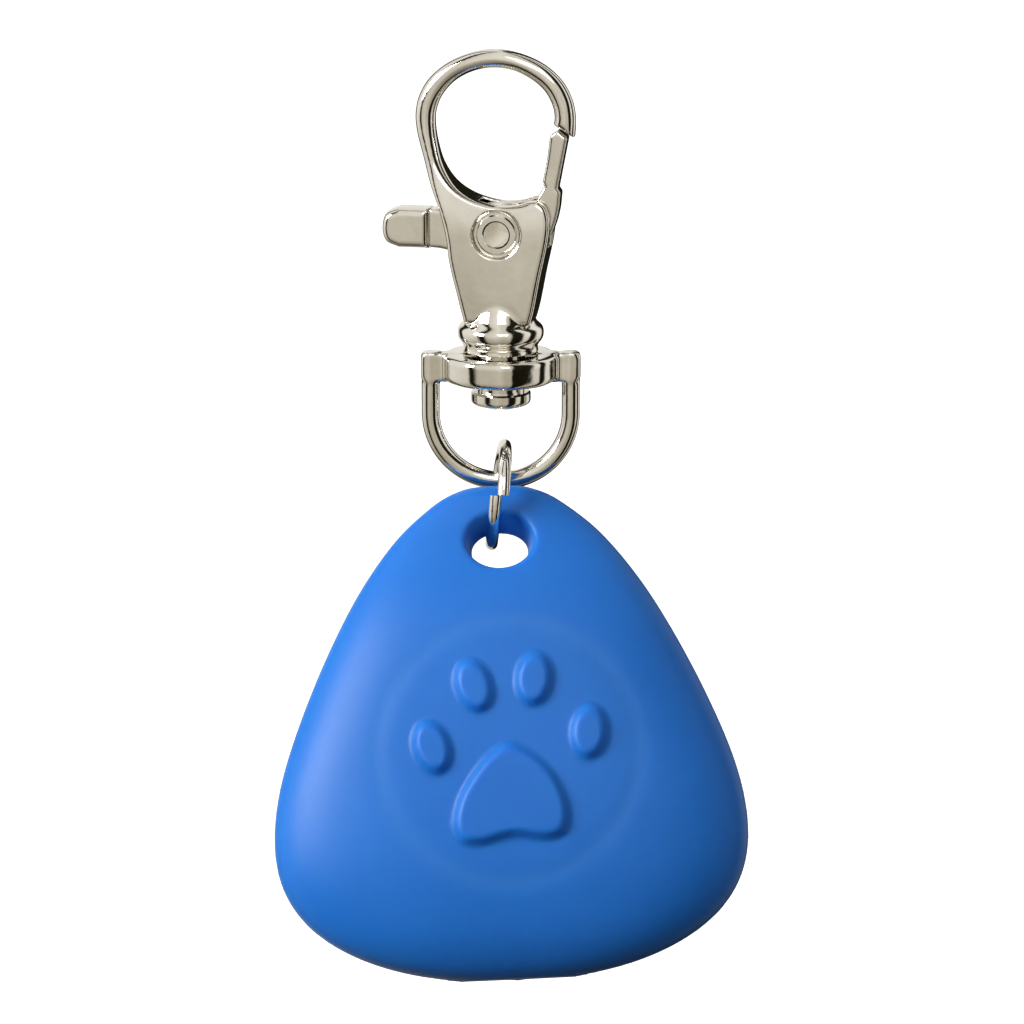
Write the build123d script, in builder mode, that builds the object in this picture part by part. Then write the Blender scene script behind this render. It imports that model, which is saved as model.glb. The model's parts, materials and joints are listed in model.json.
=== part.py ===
from build123d import *
import math
import os

# Clicker trainer in a silicone tag, hung by a jump ring on a swivel lobster clasp.
# Millimetres. +Z up, front towards -Y, origin at the centre of the hook's eye.

os.makedirs("parts", exist_ok=True)

# ---------------------------------------------------------------- placing
CLASP_LEAN = 12.5      # the clasp leans forward, its foot goes back
HOOK_TURN = -9.5       # the hook is turned a little on its swivel, right side forward
TAG_LEAN = -12.0       # the tag leans back
TAG_ROLL = -2.6        # the tag hangs slightly rolled in its own plane
TAG_AT = (1.11, -0.20, -53.43)   # centre of the press area

# ---------------------------------------------------------------- hook and lever
ARCH_HALF = 0.90       # half depth of the hook at its arch
CHEEK_HALF = 2.35      # half depth of the clasp body
LEVER_HALF = 0.97      # half thickness of the lever in its slot
SLOT_HALF = LEVER_HALF + 0.08
PIVOT_X, PIVOT_Z = 0.4766, -8.8  # on the swivel axis, in the hook's own frame
PIVOT_R = 1.40         # eyelet barrel
RECESS_DEPTH = 0.45    # recess for each eyelet flange
TIP_R = 10.16          # gate tip, measured from the lever pivot
NOSE_R = TIP_R + 0.16  # nose end, measured from the lever pivot

# ---------------------------------------------------------------- swivel
AXIS_X = 0.47          # swivel axis
NECK_BOTTOM = -16.6    # foot of the hook casting
COLLAR_Z = -19.2       # underside of the collar
RIVET_R = 1.30         # rivet shank in the hook
SHOULDER_R = 2.04      # rivet shoulder in the swivel eye
BORE_R = SHOULDER_R + 0.06

# ---------------------------------------------------------------- capsule and tag
# Depths are measured behind the tag's middle, so the front is negative.
CASE_R = 12.7          # hard capsule
CAVITY_R = 9.9
CASE_FRONT, CASE_PART, CASE_FLANGE, CASE_REAR = -3.85, 0.0, 3.8, 6.35
LEDGE = 2.30           # seat of the click disc
PRESS_R = 10.55        # moving skin over the plunger
MOUTH_R = 10.5         # rear mouth of the silicone
PLUNGER_R = 8.50
TRAVEL = 1.0
PAD_BACK = CASE_FRONT - TRAVEL - 0.06
SCREW_R = 0.66
SCREW_CIRCLE_R = 11.3
SCREW_SPOTS = [(SCREW_CIRCLE_R * math.cos(math.radians(a)), SCREW_CIRCLE_R * math.sin(math.radians(a)))
               for a in (90, 210, 330)]


# ---------------------------------------------------------------- frames
def turned(x=0, y=0, z=0):
    return Location((0, 0, 0), (x, y, z))


def on(frame, plane):
    """A plane given in a frame of its own, such as the clasp's or the tag's."""
    return Plane(frame * plane.location)


def level(depth):
    """Tag plane at a depth behind the tag's middle, facing front; x right, y up the tag."""
    return on(tag_frame, Plane((0, depth, 0), x_dir=(1, 0, 0), z_dir=(0, -1, 0)))


def mirrored(points):
    """Points mirrored in the second axis, in reverse order."""
    return [(-x, y) for x, y in reversed(points)]


clasp_frame = turned(x=CLASP_LEAN)
hook_frame = clasp_frame * Location((AXIS_X, 0, 0), (0, 0, HOOK_TURN)) * Location((-PIVOT_X, 0, 0))
tag_frame = Location(TAG_AT, (TAG_LEAN, 0, 0)) * turned(y=TAG_ROLL)

clasp_front = on(clasp_frame, Plane.XZ)
swivel_half = on(clasp_frame, Plane((AXIS_X, 0, 0), x_dir=(1, 0, 0), z_dir=(0, -1, 0)))
swivel_axis = Axis((clasp_frame * Location((AXIS_X, 0, 0))).position, clasp_front.y_dir)

hook_front = on(hook_frame, Plane.XZ)
hook_side = on(hook_frame, Plane.YZ)
pivot_at = (PIVOT_X, 0, PIVOT_Z)
pivot_front = on(hook_frame, Plane(pivot_at, x_dir=(1, 0, 0), z_dir=(0, -1, 0)))
pivot_side = on(hook_frame, Plane(pivot_at, x_dir=(0, 1, 0), z_dir=(1, 0, 0)))
pivot_axis = Axis((hook_frame * Location(pivot_at)).position, hook_front.z_dir)

tag_axis = Axis(tag_frame.position, level(0).z_dir)   # through the tag, towards its front


# ---------------------------------------------------------------- hook body
# Front outlines, (x, z) in the hook's frame
# outside: up the left of the body and over the arch to the nose
HOOK_OUTER = [
    (-2.36, NECK_BOTTOM), (-2.72, -15.2), (-3.07, -13.75), (-3.42, -12.35), (-3.70, -10.95),
    (-3.85, -9.55), (-4.18, -8.0), (-4.70, -6.4), (-5.42, -4.64), (-6.08, -2.54), (-6.70, -0.3),
    (-6.80, 1.3), (-6.45, 2.75), (-5.60, 4.15), (-4.05, 5.45), (-2.00, 6.35), (0.05, 6.66),
    (2.12, 6.35), (4.14, 5.50), (5.68, 4.20), (6.58, 2.65), (6.92, 1.0), (6.84, -0.9)]
# eye: from the nose back over the arch and down to the body
HOOK_INNER = [
    (4.95, 0.20), (5.12, 0.95), (4.93, 2.0), (4.30, 3.15), (3.22, 4.10), (1.70, 4.85),
    (0.05, 5.08), (-1.70, 4.80), (-3.25, 4.02), (-4.38, 2.85), (-4.97, 1.6),
    (-5.10, 0.3), (-4.88, -1.4), (-4.40, -3.1), (-3.50, -4.60), (-2.36, -5.55),
    (-1.00, -6.12), (0.60, -6.42), (2.20, -6.30), (3.25, -5.95)]
# right side of the body, downwards
HOOK_RIGHT = [
    (3.95, -5.90), (4.55, -6.35), (4.90, -7.2), (4.96, -8.3), (4.81, -9.55), (4.53, -10.95),
    (4.22, -12.35), (3.68, -15.2), (3.31, NECK_BOTTOM)]
# rear edge seen from the side, (y, z): thin at the arch and full at the cheeks
HOOK_REAR = [
    (ARCH_HALF, 8.0), (ARCH_HALF, 2.5), (ARCH_HALF + 0.12, -0.5), (1.55, -4.0), (2.15, -6.3),
    (CHEEK_HALF, -8.4), (CHEEK_HALF, -13.0), (2.30, NECK_BOTTOM)]
# bead of the collar, (radius, z)
COLLAR_BEAD = [(3.05, NECK_BOTTOM), (3.55, -16.95), (3.70, -17.55), (3.58, -18.1), (3.30, -18.45)]
# lever slot, (x, z)
SLOT_OUTLINE = [
    (-7.5, -5.6), (-4.9, -5.6), (-2.2, -6.7), (-0.6, -5.8), (1.6, -4.6), (7.5, -4.6),
    (7.5, -9.2), (4.2, -10.2), (3.6, -13.5), (-3.1, -13.5), (-7.5, -14.2), (-7.5, -5.6)]


def make_hook_body():
    recess_r = 2.05
    recess_cut = 1.05          # runs out past the cheek
    rivet_bore_depth = 4.0
    hook_front_edge = mirrored(HOOK_REAR)
    with BuildPart() as body:
        with BuildSketch(hook_front.offset(-4)):
            with BuildLine():
                Spline(*HOOK_OUTER)
                Line(HOOK_OUTER[-1], HOOK_INNER[0])
                Spline(*HOOK_INNER)
                Line(HOOK_INNER[-1], HOOK_RIGHT[0])
                Spline(*HOOK_RIGHT)
                Line(HOOK_RIGHT[-1], HOOK_OUTER[0])
            make_face()
        extrude(amount=8)
        # depth of the casting
        with BuildSketch(hook_side.offset(-9)):
            with BuildLine():
                Spline(*HOOK_REAR)
                Line(HOOK_REAR[-1], hook_front_edge[0])
                Spline(*hook_front_edge)
                Line(hook_front_edge[-1], HOOK_REAR[0])
            make_face()
        extrude(amount=18, mode=Mode.INTERSECT)
        # nose end, swept about the pivot so the gate tip passes under it
        with BuildSketch(pivot_front):
            Circle(NOSE_R)
            with Locations((-8.8, 0)):
                Rectangle(26.0, 40.0, mode=Mode.SUBTRACT)
            Rectangle(40.0, 12.0, mode=Mode.SUBTRACT)
        extrude(amount=4, both=True, mode=Mode.SUBTRACT)
        # the long rims are picked by length, first the longest and then the next
        fillet(body.edges().filter_by(lambda e: e.length > 20.0), radius=0.45)
        fillet(body.edges().filter_by(lambda e: 10.0 < e.length < 13.0), radius=0.2)
        # neck and beaded collar over the swivel
        with BuildSketch(swivel_half):
            with BuildLine():
                Polyline((0, -15.2), (2.2, -15.2), (2.85, -16.3), COLLAR_BEAD[0])
                Spline(*COLLAR_BEAD)
                Polyline(COLLAR_BEAD[-1], (3.22, -18.7), (3.30, COLLAR_Z), (0, COLLAR_Z), (0, -15.2))
            make_face()
        revolve(axis=swivel_axis)
        # lever slot between the two cheeks
        with BuildSketch(hook_front):
            with BuildLine():
                Polyline(*SLOT_OUTLINE)
            make_face()
        extrude(amount=SLOT_HALF, both=True, mode=Mode.SUBTRACT)
        # eyelet bore and its two recesses
        with BuildSketch(pivot_front):
            Circle(PIVOT_R)
        extrude(amount=4, both=True, mode=Mode.SUBTRACT)
        recess_floor = CHEEK_HALF - RECESS_DEPTH
        with BuildSketch(pivot_front.offset(recess_floor),
                         pivot_front.offset(-recess_floor - recess_cut)):
            Circle(recess_r)
        extrude(amount=recess_cut, mode=Mode.SUBTRACT)
        # blind bore for the swivel rivet
        with BuildSketch(on(clasp_frame, Plane.XY.offset(COLLAR_Z))):
            with Locations((AXIS_X, 0)):
                Circle(RIVET_R)
        extrude(amount=rivet_bore_depth, mode=Mode.SUBTRACT)
    return body.part


# ---------------------------------------------------------------- pivot eyelet
def make_pivot_eyelet():
    """Hollow rivet, open at the front and closed at the rear."""
    hole_r = 1.08
    hole_end = 1.35
    flange_r = 1.72
    flange_in = CHEEK_HALF - RECESS_DEPTH
    flange_out = CHEEK_HALF - 0.16
    lip = CHEEK_HALF - 0.05
    rear = CHEEK_HALF + 0.02
    with BuildPart() as eyelet:
        with BuildSketch(pivot_side):
            with BuildLine():
                # (depth towards the rear, radius)
                Polyline((hole_end, 0), (hole_end, hole_r), (-CHEEK_HALF + 0.20, hole_r),
                         (-lip, hole_r + 0.12), (-lip, 1.60), (-flange_out - 0.0, flange_r),
                         (-flange_in, flange_r), (-flange_in, PIVOT_R),
                         (flange_in, PIVOT_R), (flange_in, flange_r),
                         (flange_out, flange_r), (rear, 1.40), (rear, 0), (hole_end, 0))
            make_face()
        revolve(axis=pivot_axis)
    return eyelet.part


# ---------------------------------------------------------------- gate lever with thumb tab
# Front outline, (x, z) in the hook's frame, clockwise from the foot of the gate arm
ARM_INNER = [(3.35, -7.6), (3.60, -6.6), (3.75, -5.8), (4.15, -5.1)]
TIP_STEP = [(4.15, -5.1), (4.35, -4.78), (4.19, -4.50)]
TIP_INNER = [(4.19, -4.50), (4.59, -2.35), (4.83, -0.41)]
TIP_END = [(4.83, -0.41), (5.50, 0.0), (6.31, -0.63), (5.49, -4.95), (5.74, -5.3)]
ARM_OUTER = [(5.74, -5.3), (5.58, -6.8), (5.18, -8.3), (4.50, -9.6), (2.9, -10.9)]
HUB_UNDER = [(2.9, -10.9), (1.7, -11.75), (0.3, -12.0), (-1.4, -11.5), (-2.9, -10.8),
             (-4.4, -10.4), (-5.4, -10.3)]
THUMB_END = [(-8.2, -10.3), (-9.3, -9.8), (-9.6, -8.65), (-9.3, -7.45), (-8.2, -6.95)]
HUB_TOP = [(-4.6, -6.97), (-2.8, -7.25), (-1.7, -7.05), (-0.8, -6.65), (0.48, -6.48),
           (1.7, -6.70), (2.6, -7.35), (3.35, -7.6)]
# wider pad at the end of the thumb bar, outside the cheeks
PAD_END = [(-8.2, -10.28), (-9.28, -9.78), (-9.58, -8.65), (-9.28, -7.47), (-8.2, -6.97)]
PAD_RIGHT = [(-5.6, -6.99), (-5.6, -10.28)]
END_TANGENTS = ((-1, 0), (1, 0))


def make_gate_lever():
    pad_half = 1.50
    with BuildPart() as lever:
        with BuildSketch(hook_front):
            with BuildLine():
                # gate arm up to the tip block, and down its outer side
                Spline(*ARM_INNER)
                Polyline(*TIP_STEP)
                Spline(*TIP_INNER)
                Polyline(*TIP_END)
                Spline(*ARM_OUTER)
                # hub and thumb bar
                Spline(*HUB_UNDER)
                Line(HUB_UNDER[-1], THUMB_END[0])
                Spline(*THUMB_END, tangents=END_TANGENTS)
                Line(THUMB_END[-1], HUB_TOP[0])
                Spline(*HUB_TOP)
            make_face()
        extrude(amount=LEVER_HALF, both=True)
        # tip face on an arc about the pivot
        with BuildSketch(pivot_front):
            Circle(TIP_R)
        extrude(amount=3, both=True, mode=Mode.INTERSECT)
        with BuildSketch(hook_front):
            with BuildLine():
                Line(PAD_RIGHT[1], PAD_END[0])
                Spline(*PAD_END, tangents=END_TANGENTS)
                Line(PAD_END[-1], PAD_RIGHT[0])
                Line(*PAD_RIGHT)
            make_face()
        extrude(amount=pad_half, both=True)
        # front and rear rims of the pad
        rear_face = lever.faces().sort_by(pivot_axis)[0]
        front_face = lever.faces().sort_by(pivot_axis)[-1]
        fillet(rear_face.edges() + front_face.edges(), radius=0.45)
        # running bore on the rivet, and the spring pocket at its rear
        with BuildSketch(pivot_front):
            Circle(PIVOT_R + 0.05)
        extrude(amount=3, both=True, mode=Mode.SUBTRACT)
        with BuildSketch(pivot_front.offset(-LEVER_HALF)):
            Circle(2.02)
            with BuildLine():
                Polyline((-1.2, -1.4), (-1.2, -2.75), (1.3, -2.75), (1.3, -1.4), (-1.2, -1.4))
            make_face()
        extrude(amount=1.05, mode=Mode.SUBTRACT)
    return lever.part


# ---------------------------------------------------------------- torsion spring round the eyelet
def make_gate_spring():
    coil_r = 1.72
    wire_r = 0.13
    with BuildPart() as spring:
        with BuildLine() as coil:
            Helix(pitch=0.32, height=0.60, radius=coil_r, center=(0, 0, 0), direction=(0, 0, 1))
        with BuildSketch(Plane(coil.line @ 0, z_dir=coil.line % 0)):
            Circle(wire_r)
        sweep(path=coil.line, is_frenet=True)
        # straight leg
        with BuildSketch(Plane((coil_r, 0, 0), z_dir=(0, -1, 0))):
            Circle(wire_r)
        extrude(amount=0.9)
    return pivot_front.offset(-LEVER_HALF + 0.20).location * spring.part


# ---------------------------------------------------------------- shouldered swivel rivet
def make_swivel_rivet():
    shank_top = -15.4
    head_top = -22.72
    head_r = 2.60
    dent_circle_r = 1.25
    # underside of the head, (radius, z)
    head_under = [(head_r, -23.45), (2.35, -23.84), (1.50, -24.1), (0.0, -24.2)]
    with BuildPart() as rivet:
        with BuildSketch(swivel_half):
            with BuildLine():
                Polyline((0, shank_top), (RIVET_R - 0.15, shank_top), (RIVET_R, -15.6),
                         (RIVET_R, COLLAR_Z), (SHOULDER_R, COLLAR_Z), (SHOULDER_R, head_top),
                         (head_r - 0.15, head_top), (head_r, head_top - 0.15), head_under[0])
                Spline(*head_under, tangents=((0, -1), (-1, 0)))
                Line(head_under[-1], (0, shank_top))
            make_face()
        revolve(axis=swivel_axis)
        # three peening dents in the head
        with Locations(*[clasp_frame * Location((AXIS_X + dent_circle_r * math.cos(a),
                                                 dent_circle_r * math.sin(a), -24.40))
                         for a in (math.radians(-90), math.radians(30), math.radians(150))]):
            Sphere(0.45, mode=Mode.SUBTRACT)
    return rivet.part


# ---------------------------------------------------------------- swivel eye: disc, bar and D-loop
def make_swivel_eye():
    loop_z, loop_r, loop_wire_r = -24.7, 6.04, 0.80
    leg_top = -20.4
    bar_top, bar_bottom, bar_end = -19.35, -22.1, 6.80
    bar_half_depth = 0.74
    disc_top, disc_bottom, disc_r = -19.4, -21.8, 4.9
    bar_right = [(AXIS_X + x, z) for x, z in (
        (bar_end, bar_top), (bar_end, bar_bottom), (5.35, bar_bottom), (3.8, disc_bottom + 0.1))]
    bar_left = [(2 * AXIS_X - x, z) for x, z in reversed(bar_right)]
    # rim and dished underside of the disc, (radius, z)
    disc_rim = [(disc_r - 0.5, disc_top), (disc_r - 0.08, disc_top - 0.45), (disc_r, -20.65),
                (disc_r - 0.08, disc_bottom + 0.45), (disc_r - 0.5, disc_bottom)]
    disc_dish = [(3.55, disc_bottom), (3.0, disc_bottom + 0.40), (2.2, disc_bottom + 0.62),
                 (0, disc_bottom + 0.66)]
    with BuildPart() as eye:
        with BuildLine(clasp_front) as loop_path:
            loop_arc = CenterArc((AXIS_X, loop_z), loop_r, 180, 180)
            Line((AXIS_X - loop_r, leg_top), loop_arc @ 0)
            Line(loop_arc @ 1, (AXIS_X + loop_r, leg_top))
        with BuildSketch(Plane(loop_path.wires()[0] @ 0, z_dir=loop_path.wires()[0] % 0)):
            Circle(loop_wire_r)
        sweep(path=loop_path.wires()[0])
        # flat bar from leg to leg, its top corners rounded
        with BuildSketch(clasp_front) as bar:
            with BuildLine():
                Polyline(bar_left[-1], *bar_right, *bar_left)
            make_face()
            fillet(bar.vertices().sort_by(Axis.Y)[-2:], radius=0.6)
        extrude(amount=bar_half_depth, both=True)
        with BuildSketch(swivel_half):
            with BuildLine():
                Polyline((0, disc_top), disc_rim[0])
                Spline(*disc_rim)
                Polyline(disc_rim[-1], disc_dish[0])
                Spline(*disc_dish)
                Line(disc_dish[-1], (0, disc_top))
            make_face()
        revolve(axis=swivel_axis)
        with BuildSketch(on(clasp_frame, Plane.XY.offset(-26))):
            with Locations((AXIS_X, 0)):
                Circle(BORE_R)
        extrude(amount=8, mode=Mode.SUBTRACT)
    return eye.part


# ---------------------------------------------------------------- jump ring
def make_jump_ring():
    """One turn of wire, its two ends offset sideways at a cut in the front."""
    centre = (0.24, 5.2, -31.2)
    ring_r, wire_r = 4.30, 0.55
    yaw, roll = 2.0, 5.7
    step = 0.60                # sideways offset of the ends
    turn_angle = 358.5
    with BuildPart() as ring:
        with BuildLine() as turn:
            Helix(pitch=step, height=step * turn_angle / 360, radius=ring_r)
        with BuildSketch(Plane(turn.line @ 0, z_dir=turn.line % 0)):
            Circle(wire_r)
        sweep(path=turn.line, is_frenet=True)
    upright = turned(y=90) * turned(z=-90) * Location((0, 0, -step / 2))
    return Location(centre) * turned(z=yaw) * turned(y=roll) * upright * ring.part


# ---------------------------------------------------------------- silicone tag
# sections down the tag: height, half width, half thickness
TAG_ROWS = [
    (23.40, 1.9, 1.05), (23.05, 3.6, 1.45), (21.95, 5.45, 1.90), (19.95, 7.9, 2.30),
    (17.35, 10.2, 3.25), (14.15, 12.4, 4.70), (10.85, 14.25, 5.55), (6.95, 16.15, 5.98),
    (3.05, 17.8, 6.20), (-1.55, 19.35, 6.30), (-6.15, 20.05, 6.20), (-10.05, 19.55, 5.85),
    (-13.25, 17.7, 5.15), (-15.55, 14.9, 4.30), (-17.35, 11.0, 3.15), (-18.35, 7.0, 2.1),
    (-18.72, 3.5, 1.15)]
# flares of the hanging hole, front and rear:
# depth of the narrow end, depth of the wide end, its half width, half height and rise
HOLE_FLARES = [(0.5, -3.4, 3.1, 3.0, 1.20), (0.8, 4.2, 3.1, 2.9, 1.10)]


def superellipse(half_width, half_thickness, power=2.5, count=28):
    points = []
    for i in range(count):
        angle = 2 * math.pi * i / count
        x, y = math.cos(angle), math.sin(angle)
        points.append((half_width * math.copysign(abs(x) ** (2 / power), x),
                       half_thickness * math.copysign(abs(y) ** (2 / power), y)))
    return points


def make_pillow():
    """Solid outer form of the tag, shared by the cover and the press area."""
    with BuildPart() as form:
        for height, half_width, half_thickness in TAG_ROWS:
            with BuildSketch(on(tag_frame, Plane.XY.offset(height))):
                with BuildLine():
                    Spline(*superellipse(half_width, half_thickness), periodic=True)
                make_face()
        loft()
    return form.part


def make_silicone_cover(pillow):
    hole_x, hole_y = 0.10, 17.65
    with BuildPart() as cover:
        add(pillow)
        # capsule pocket, front opening and rear mouth
        with BuildSketch(level(CASE_FRONT - 0.05)):
            Circle(CASE_R + 0.08)
        extrude(amount=-(CASE_FLANGE - CASE_FRONT + 0.10), mode=Mode.SUBTRACT)
        with BuildSketch(level(-9)):
            Circle(PRESS_R + 0.10)
        extrude(amount=-7, mode=Mode.SUBTRACT)
        with BuildSketch(level(9)):
            Circle(MOUTH_R)
        extrude(amount=7, mode=Mode.SUBTRACT)
        # hanging hole and its flares
        with BuildSketch(level(0)):
            with Locations((hole_x, hole_y)):
                Ellipse(2.42, 1.80)
        extrude(amount=8, both=True, mode=Mode.SUBTRACT)
        for start, end, half_width, half_height, rise in HOLE_FLARES:
            with BuildSketch(level(start)):
                with Locations((hole_x, hole_y)):
                    Ellipse(2.36, 1.74)
            with BuildSketch(level(end)):
                with Locations((hole_x, hole_y + rise)):
                    Ellipse(half_width, half_height)
            loft(mode=Mode.SUBTRACT)
    return cover.part


# ---------------------------------------------------------------- press area with the raised paw
# main pad of the paw, and its toes as (x, y, tilt in degrees), in the tag's plane
PAW_PALM = [
    (0.0, 0.6), (2.05, -0.35), (3.85, -2.25), (4.85, -4.9), (4.50, -7.00), (2.85, -7.60),
    (0.2, -7.25), (-2.4, -7.80), (-4.15, -7.60), (-4.85, -6.1), (-4.35, -3.9), (-3.2, -2.0),
    (-1.75, -0.35)]
PAW_TOES = [(-2.62, 5.55, 16), (2.43, 5.90, -8), (-6.32, 0.50, 16), (6.83, 1.25, -8)]


def make_paw_pad(pillow):
    with BuildPart() as pad:
        with BuildSketch(level(PAD_BACK)):
            Circle(PRESS_R)
        extrude(amount=4.0)
        add(pillow, mode=Mode.INTERSECT)
        with BuildSketch(level(PAD_BACK - 0.3)):
            with BuildLine():
                Spline(*PAW_PALM, periodic=True)
            make_face()
            with Locations(*[Location((x, y, 0), (0, 0, tilt)) for x, y, tilt in PAW_TOES]):
                Ellipse(1.62, 2.35)
        extrude(amount=1.68)
    return pad.part


# ---------------------------------------------------------------- plunger under the press area
def make_plunger():
    front = PAD_BACK + 0.02
    flange_front = front + 2.30
    flange_back = flange_front + 0.60
    with BuildPart() as plunger:
        with BuildSketch(level(front)):
            Circle(PLUNGER_R)
        extrude(amount=-2.30)
        with BuildSketch(level(flange_front)):
            Circle(9.35)
        extrude(amount=-0.60)
        # hollowed from the rear, leaving a hub and three ribs
        with BuildSketch(level(flange_back)):
            Circle(8.1)
            Circle(2.2, mode=Mode.SUBTRACT)
            for k in range(3):
                with Locations(Location((0, 0, 0), (0, 0, 120 * k + 90))):
                    Rectangle(9.0, 1.0, align=(Align.MIN, Align.CENTER), mode=Mode.SUBTRACT)
        extrude(amount=1.9, mode=Mode.SUBTRACT)
        # central peg towards the click disc
        with BuildSketch(level(flange_back)):
            Circle(1.8)
        extrude(amount=-1.35)
    return plunger.part


# ---------------------------------------------------------------- capsule shells
def make_case_front():
    wall_back = CASE_FRONT + 1.15
    with BuildPart() as shell:
        for start, end, inner_r in ((CASE_FRONT, wall_back, PLUNGER_R + 0.08),
                                    (wall_back, CASE_PART, CAVITY_R)):
            with BuildSketch(level(start)):
                Circle(CASE_R)
                Circle(inner_r, mode=Mode.SUBTRACT)
            extrude(amount=start - end)
        chamfer(shell.faces().sort_by(tag_axis)[-1].edges().sort_by(SortBy.LENGTH)[-1], 0.5)
        # pilot holes
        with BuildSketch(level(CASE_PART)):
            with Locations(*SCREW_SPOTS):
                Circle(SCREW_R)
        extrude(amount=2.9, mode=Mode.SUBTRACT)
    return shell.part


def make_case_back():
    cap_r = MOUTH_R - 0.12
    cap_inner_r = 7.2
    cap_floor = CASE_FLANGE + 1.0
    with BuildPart() as shell:
        for start, end, outer_r, inner_r in ((CASE_PART, LEDGE, CASE_R, CAVITY_R),
                                             (LEDGE, CASE_FLANGE, CASE_R, cap_inner_r),
                                             (CASE_FLANGE, cap_floor, cap_r, cap_inner_r)):
            with BuildSketch(level(start)):
                Circle(outer_r)
                Circle(inner_r, mode=Mode.SUBTRACT)
            extrude(amount=start - end)
        with BuildSketch(level(cap_floor)):
            Circle(cap_r)
        extrude(amount=cap_floor - CASE_REAR)
        fillet(shell.faces().sort_by(tag_axis)[0].edges().sort_by(SortBy.LENGTH)[-1], 0.3)
        # sound ports
        with BuildSketch(level(CASE_REAR)):
            with PolarLocations(4.6, 6):
                Circle(0.7)
        extrude(amount=2.0, mode=Mode.SUBTRACT)
        # counterbores, then clearance holes
        for hole_r, depth in ((1.15, 0.85), (SCREW_R + 0.06, 5.0)):
            with BuildSketch(level(CASE_FLANGE)):
                with Locations(*SCREW_SPOTS):
                    Circle(hole_r)
            extrude(amount=depth, mode=Mode.SUBTRACT)
    return shell.part


# ---------------------------------------------------------------- snapping disc and its retainer
def make_click_disc():
    """Domed spring-steel disc, its crown towards the plunger."""
    thickness = 0.25
    crown_back = LEDGE - 1.25 + 0.02
    crown_front = crown_back - thickness
    rim_front = LEDGE - thickness
    rim_back = LEDGE - 0.01
    crown_r, rim_r = 1.0, 8.35
    mid_drop = 0.35            # fall of the dome half way out
    with BuildPart() as disc:
        with BuildSketch(on(tag_frame, Plane.XY)):
            with BuildLine():
                # (radius, depth)
                front = ThreePointArc((crown_r, crown_front), (4.5, crown_front + mid_drop),
                                      (8.0, rim_front - 0.09))
                Polyline(front @ 1, (rim_r, rim_front), (rim_r, rim_back), (7.95, rim_back))
                back = ThreePointArc((7.95, rim_back), (4.45, crown_back + mid_drop),
                                     (crown_r, crown_back))
                Polyline(back @ 1, (0, crown_back), (0, crown_front), front @ 0)
            make_face()
        revolve(axis=tag_axis)
    return disc.part


def make_disc_retainer():
    # rings from the ledge forwards: gap from the ledge, inner radius, thickness
    rings = [(0.01, 8.45, 0.28), (0.29, 8.45, 0.08), (0.37, 8.05, 0.67)]
    with BuildPart() as retainer:
        for gap, inner_r, thickness in rings:
            with BuildSketch(level(LEDGE - gap)):
                Circle(CAVITY_R - 0.05)
                Circle(inner_r, mode=Mode.SUBTRACT)
            extrude(amount=thickness)
    return retainer.part


# ---------------------------------------------------------------- three screws closing the capsule
def make_case_screws():
    head_back = CASE_FLANGE - 0.05
    head_height = 0.75
    head_front = head_back - head_height
    shank_end = -2.6
    with BuildPart() as screws:
        for start, radius, length in ((head_back, 1.08, head_height),
                                      (head_front, SCREW_R, head_front - shank_end)):
            with BuildSketch(level(start)):
                with Locations(*SCREW_SPOTS):
                    Circle(radius)
            extrude(amount=length)
        # cross slots
        with BuildSketch(level(head_back)):
            with Locations(*SCREW_SPOTS):
                Rectangle(1.5, 0.28)
                Rectangle(0.28, 1.5)
        extrude(amount=0.4, mode=Mode.SUBTRACT)
    return screws.part


# ---------------------------------------------------------------- build and export
tag_pillow = make_pillow()
pieces = {
    "hook_body": make_hook_body(),
    "pivot_eyelet": make_pivot_eyelet(),
    "gate_lever": make_gate_lever(),
    "gate_spring": make_gate_spring(),
    "swivel_rivet": make_swivel_rivet(),
    "swivel_eye": make_swivel_eye(),
    "jump_ring": make_jump_ring(),
    "silicone_cover": make_silicone_cover(tag_pillow),
    "paw_pad": make_paw_pad(tag_pillow),
    "plunger": make_plunger(),
    "case_front": make_case_front(),
    "case_back": make_case_back(),
    "click_disc": make_click_disc(),
    "disc_retainer": make_disc_retainer(),
    "case_screws": make_case_screws(),
}
for name, piece in pieces.items():
    piece.label = name
    export_step(piece, f"parts/{name}.step")
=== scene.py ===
"""A silicone-covered paw tag hanging from a cast swivel clasp, on a white studio sweep.

+Z is up, the front faces -Y and +X is right as the camera sees it. Shapes are written in
millimetres in the frame of their own part (tag, hook or clasp) and meshed from signed
distance fields, negative inside. The stage, lights and camera are in metres.
"""
import bpy
import json
import math
import numpy as np
from mathutils import Matrix, Vector


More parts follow.
